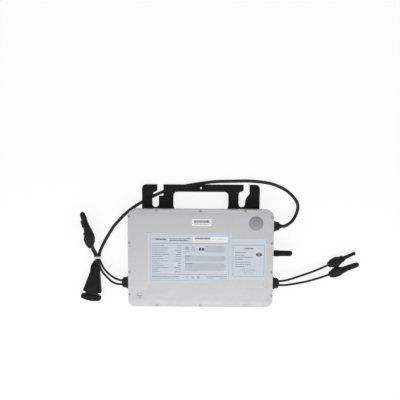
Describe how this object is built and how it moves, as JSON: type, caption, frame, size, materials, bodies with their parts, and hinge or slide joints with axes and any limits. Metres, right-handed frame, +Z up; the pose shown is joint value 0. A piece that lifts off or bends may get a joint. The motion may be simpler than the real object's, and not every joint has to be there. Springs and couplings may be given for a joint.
{
  "type": "solar microinverter",
  "caption": "Flat finned solar microinverter with a slotted carrying bracket, side cable glands, panel leads and plugs, a looped mains lead with a flat plug, and a stub antenna.",
  "frame": {"origin": "middle of the housing, on the underside of its central fin, at floor level", "axes": "+X along the long side towards the antenna, +Y towards the hanging bracket, +Z up out of the printed cover"},
  "size_m": [0.6539, 0.2915, 0.0423],
  "materials": {
    "cover_aluminium": "satin, fine grain",
    "cast_aluminium": "die-cast, light satin",
    "black_steel": "matt powder coat",
    "steel": "plain",
    "gasket_rubber": "matt",
    "black_nylon": "moulded",
    "black_rubber": "matt",
    "lead_jacket": "satin jacket",
    "plug_plastic": "moulded, fine texture",
    "white_nylon": "moulded",
    "blue_film": "satin printed film",
    "white_film": "satin printed film",
    "grey_foil": "satin film",
    "brass": "plated",
    "circuit_board": "solder mask",
    "ferrite": "matt",
    "copper": "enamelled wire",
    "capacitor_sleeve": "sleeve",
    "green_plastic": "moulded"
  },
  "bodies": {
    "unit": {"housing": "cast_aluminium", "cover_plate": "cover_aluminium", "cover_gasket": "gasket_rubber", "mounting_bracket": "black_steel", "bracket_screw_1": "steel", "bracket_screw_2": "steel", "bracket_screw_3": "steel", "bracket_screw_4": "steel", "cover_screw_01": "steel", "cover_screw_02": "steel", "cover_screw_03": "steel", "cover_screw_04": "steel", "cover_screw_05": "steel", "cover_screw_06": "steel", "cover_screw_07": "steel", "cover_screw_08": "steel", "cover_screw_09": "steel", "cover_screw_10": "steel", "cover_screw_11": "steel", "cover_screw_12": "steel", "cover_screw_13": "steel", "cover_screw_14": "steel", "ac_gland_body": "black_nylon", "dc_left_gland_body": "black_nylon", "dc_right_gland_body": "black_nylon", "antenna_jack": "brass", "serial_label": "white_film", "rating_label": "blue_film", "side_label": "blue_film", "round_sticker": "grey_foil", "ac_lead": "lead_jacket", "dc_left_lead_upper": "lead_jacket", "dc_left_lead_lower": "lead_jacket", "dc_right_lead_upper": "lead_jacket", "dc_right_lead_lower": "lead_jacket", "dc_left_pin_plug": "plug_plastic", "dc_left_socket_plug": "plug_plastic", "dc_right_pin_plug": "plug_plastic", "dc_right_socket_plug": "plug_plastic", "ac_plug": "plug_plastic", "cable_tie": "white_nylon", "main_board": "circuit_board", "ac_terminal_block": "green_plastic", "dc_left_terminal_block": "green_plastic", "dc_right_terminal_block": "green_plastic", "transformer_1": "ferrite", "transformer_2": "ferrite", "capacitor_1": "capacitor_sleeve", "capacitor_2": "capacitor_sleeve", "choke": "copper"},
    "ac_gland_insert": {"ac_gland_insert": "black_rubber"},
    "ac_gland_nut": {"ac_gland_nut": "black_nylon"},
    "dc_right_gland_insert": {"dc_right_gland_insert": "black_rubber"},
    "dc_right_gland_nut": {"dc_right_gland_nut": "black_nylon"},
    "dc_left_gland_insert": {"dc_left_gland_insert": "black_rubber"},
    "dc_left_gland_nut": {"dc_left_gland_nut": "black_nylon"},
    "antenna_seal_ring": {"antenna_seal_ring": "gasket_rubber"},
    "antenna": {"antenna": "black_rubber"},
    "ac_plug_cap": {"ac_plug_cap": "plug_plastic"}
  },
  "joints": [
    {"name": "ac_gland_nut_travel", "type": "slide", "parent": "unit", "child": "ac_gland_insert", "axis": [1, 0, 0], "range_m": [0, 0.003]},
    {"name": "ac_gland_nut_turn", "type": "hinge", "parent": "ac_gland_insert", "child": "ac_gland_nut", "pos_m": [0.179, 0.0733, 0.0245], "axis": [1, 0, 0], "range_deg": [0, 690]},
    {"name": "dc_right_gland_nut_travel", "type": "slide", "parent": "unit", "child": "dc_right_gland_insert", "axis": [1, 0, 0], "range_m": [0, 0.003]},
    {"name": "dc_right_gland_nut_turn", "type": "hinge", "parent": "dc_right_gland_insert", "child": "dc_right_gland_nut", "pos_m": [0.179, -0.0605, 0.0245], "axis": [1, 0, 0], "range_deg": [0, 690]},
    {"name": "dc_left_gland_nut_travel", "type": "slide", "parent": "unit", "child": "dc_left_gland_insert", "axis": [-1, 0, 0], "range_m": [0, 0.003]},
    {"name": "dc_left_gland_nut_turn", "type": "hinge", "parent": "dc_left_gland_insert", "child": "dc_left_gland_nut", "pos_m": [-0.179, -0.0605, 0.0245], "axis": [-1, 0, 0], "range_deg": [0, 690]},
    {"name": "antenna_travel", "type": "slide", "parent": "unit", "child": "antenna_seal_ring", "axis": [1, 0, 0], "range_m": [0, 0.0037]},
    {"name": "antenna_turn", "type": "hinge", "parent": "antenna_seal_ring", "child": "antenna", "pos_m": [0.19, 0.01, 0.0245], "axis": [1, 0, 0], "range_deg": [0, 1830]},
    {"name": "ac_plug_cap_slide", "type": "slide", "parent": "unit", "child": "ac_plug_cap", "axis": [-0.1564, -0.9877, 0], "range_m": [0, 0.03]}
  ],
  "couplings": [
    {"joint": "ac_gland_nut_travel", "follows": "ac_gland_nut_turn", "m_per_rad": 0.00023873},
    {"joint": "dc_right_gland_nut_travel", "follows": "dc_right_gland_nut_turn", "m_per_rad": 0.00023873},
    {"joint": "dc_left_gland_nut_travel", "follows": "dc_left_gland_nut_turn", "m_per_rad": 0.00023873},
    {"joint": "antenna_travel", "follows": "antenna_turn", "m_per_rad": 0.0001123}
  ]
}
